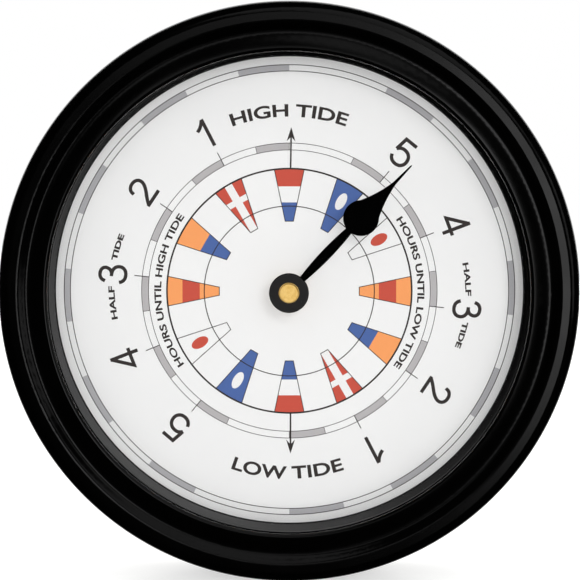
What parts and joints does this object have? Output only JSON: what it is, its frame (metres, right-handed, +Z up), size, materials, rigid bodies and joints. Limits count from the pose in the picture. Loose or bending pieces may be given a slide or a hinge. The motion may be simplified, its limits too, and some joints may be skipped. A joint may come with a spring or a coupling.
{
  "type": "tide clock",
  "caption": "Round wall tide clock: glossy black bezel, glass, white tide dial with pennants, black spade hand, and a battery movement with its gear train behind the dial.",
  "frame": {"origin": "on the hand's axis, in the plane of the bezel's rear rim, which is the wall plane", "axes": "+Z up, +X to the right seen from the front, +Y into the wall, so the dial faces -Y"},
  "size_m": [0.178, 0.0384, 0.178],
  "materials": {
    "bezel_plastic": "glossy black",
    "lens_glass": "clear, polished",
    "spacer_plastic": "semi-gloss black",
    "dial_sheet": "white printed sheet",
    "back_plastic": "fine textured black",
    "screw_steel": "zinc plated",
    "washer_rubber": "matt",
    "turned_brass": "turned, lacquered",
    "movement_plastic": "satin black",
    "cover_plastic": "satin black",
    "bridge_plastic": "natural",
    "wheel_plastic": "natural acetal",
    "arbor_steel": "turned steel",
    "magnet_ferrite": "dark grey ferrite",
    "stator_iron": "stamped soft iron",
    "bobbin_plastic": "natural",
    "winding_copper": "enamelled copper",
    "board_laminate": "green solder mask",
    "chip_resin": "black resin",
    "crystal_can": "plated can",
    "contact_nickel": "nickel plated",
    "knob_plastic": "white",
    "battery_jacket": "printed jacket",
    "hand_paint": "satin black paint"
  },
  "bodies": {
    "case": {"front_bezel": "bezel_plastic", "lens": "lens_glass", "spacer_ring": "spacer_plastic", "dial_plate": "dial_sheet", "back_cover": "back_plastic", "case_screws": "screw_steel", "rubber_washer": "washer_rubber", "fixing_washer": "turned_brass", "dial_nut": "turned_brass", "threaded_bush": "turned_brass", "movement_housing": "movement_plastic", "movement_rear_cover": "cover_plastic", "train_bridge": "bridge_plastic", "stator": "stator_iron", "coil_core": "stator_iron", "coil_bobbin": "bobbin_plastic", "coil_winding": "winding_copper", "circuit_board": "board_laminate", "chip_cap": "chip_resin", "quartz_crystal": "crystal_can", "positive_contact": "contact_nickel", "negative_contact": "contact_nickel"},
    "tide_hand_assembly": {"tide_hand": "hand_paint", "hand_bush": "turned_brass", "tide_wheel": "wheel_plastic"},
    "intermediate": {"intermediate_wheel": "wheel_plastic"},
    "centre": {"centre_arbor": "arbor_steel"},
    "knob": {"setting_knob": "knob_plastic"},
    "clutch": {"clutch_wheel": "wheel_plastic"},
    "third": {"third_wheel": "wheel_plastic"},
    "fourth": {"fourth_wheel": "wheel_plastic"},
    "fifth": {"fifth_wheel": "wheel_plastic"},
    "motor_rotor": {"rotor": "magnet_ferrite"},
    "battery": {"battery_cell": "battery_jacket"}
  },
  "joints": [
    {"name": "tide_hand_turn", "type": "hinge", "parent": "case", "child": "tide_hand_assembly", "pos_m": [0, -0.0141, 0], "axis": [0, 1, 0], "continuous": true},
    {"name": "intermediate_turn", "type": "hinge", "parent": "case", "child": "intermediate", "pos_m": [-0.00896, -0.0124, 0.00517], "axis": [0, 1, 0], "continuous": true},
    {"name": "centre_turn", "type": "hinge", "parent": "case", "child": "centre", "pos_m": [0, -0.0124, 0], "axis": [0, 1, 0], "continuous": true},
    {"name": "knob_turn", "type": "hinge", "parent": "case", "child": "knob", "pos_m": [-0.01084, -0.0124, 0.01581], "axis": [0, 1, 0], "continuous": true},
    {"name": "fourth_turn", "type": "hinge", "parent": "case", "child": "fourth", "pos_m": [0.00703, -0.006, 0.0113], "axis": [0, 1, 0], "continuous": true},
    {"name": "clutch_turn", "type": "hinge", "parent": "case", "child": "clutch", "pos_m": [0, -0.0092, 0], "axis": [0, 1, 0], "continuous": true},
    {"name": "third_turn", "type": "hinge", "parent": "case", "child": "third", "pos_m": [0.00851, -0.0076, 0.00293], "axis": [0, 1, 0], "continuous": true},
    {"name": "fifth_turn", "type": "hinge", "parent": "case", "child": "fifth", "pos_m": [0.0138, -0.0044, 0.01376], "axis": [0, 1, 0], "continuous": true},
    {"name": "rotor_turn", "type": "hinge", "parent": "case", "child": "motor_rotor", "pos_m": [0.01875, -0.0087, 0.00881], "axis": [0, 1, 0], "continuous": true},
    {"name": "battery_out", "type": "slide", "parent": "case", "child": "battery", "axis": [0, 1, 0], "range_m": [0, 0.02]}
  ],
  "couplings": [
    {"joint": "intermediate_turn", "follows": "tide_hand_turn", "ratio": -3.45},
    {"joint": "centre_turn", "follows": "tide_hand_turn", "ratio": 12.42},
    {"joint": "knob_turn", "follows": "tide_hand_turn", "ratio": 10.35},
    {"joint": "rotor_turn", "follows": "fourth_turn", "ratio": 30},
    {"joint": "fifth_turn", "follows": "fourth_turn", "ratio": -5},
    {"joint": "third_turn", "follows": "fourth_turn", "ratio": -0.13333},
    {"joint": "clutch_turn", "follows": "fourth_turn", "ratio": 0.016667}
  ]
}
